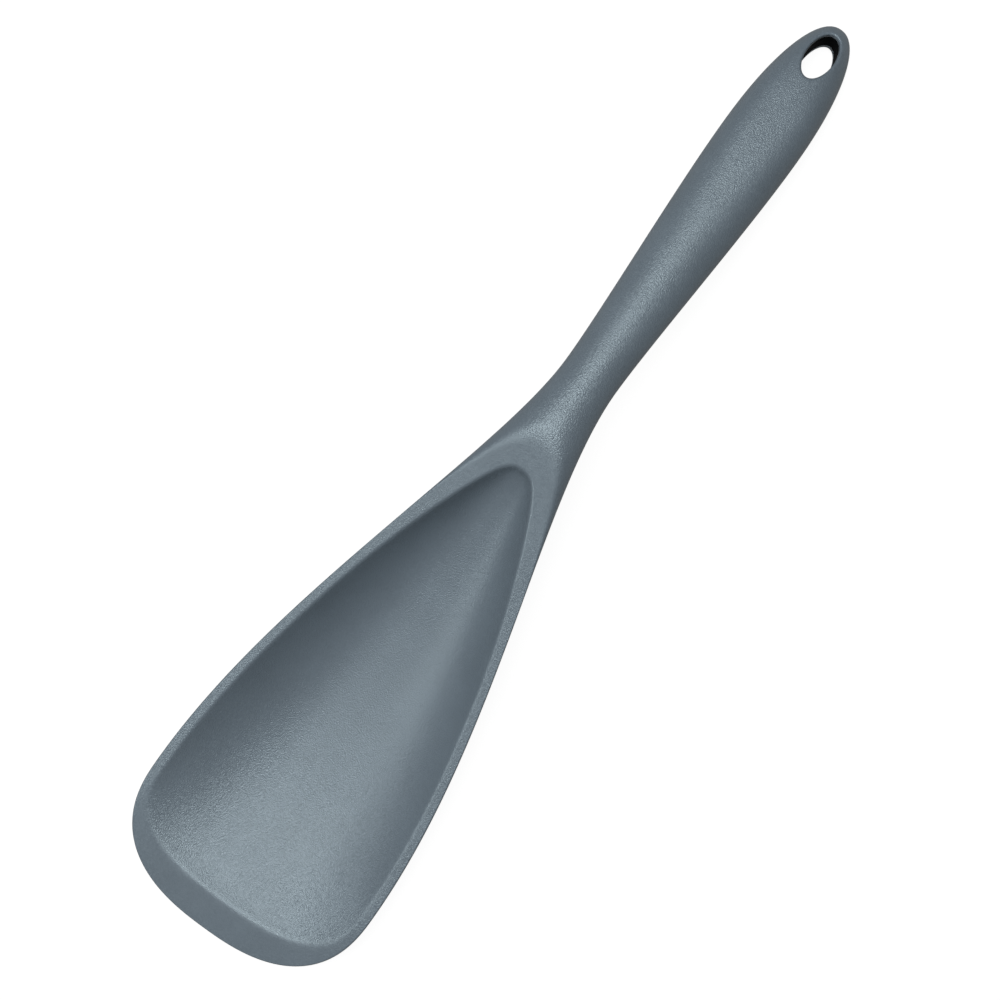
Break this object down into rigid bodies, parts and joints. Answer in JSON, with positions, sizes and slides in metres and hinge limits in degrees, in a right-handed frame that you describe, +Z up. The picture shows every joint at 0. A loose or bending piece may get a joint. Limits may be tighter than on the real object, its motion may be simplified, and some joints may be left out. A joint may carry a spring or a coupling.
{
  "type": "silicone stirring spoon",
  "caption": "Long cooking spoon with a wide shovel-shaped shallow bowl, a plain rim that rises to a narrow neck, a round swelling handle and an oval hang hole.",
  "frame": {"origin": "on the table under the middle of the spoon's length and width", "axes": "+X along the spoon from the bowl towards the end of the handle, +Y across it to the left, +Z up out of the open bowl"},
  "size_m": [0.2906, 0.0702, 0.0334],
  "materials": {
    "silicone": "fine matte",
    "nylon": "matte",
    "steel": "drawn"
  },
  "bodies": {
    "root": {"silicone_body": "silicone", "nylon_core": "nylon", "steel_rod": "steel"}
  },
  "joints": []
}
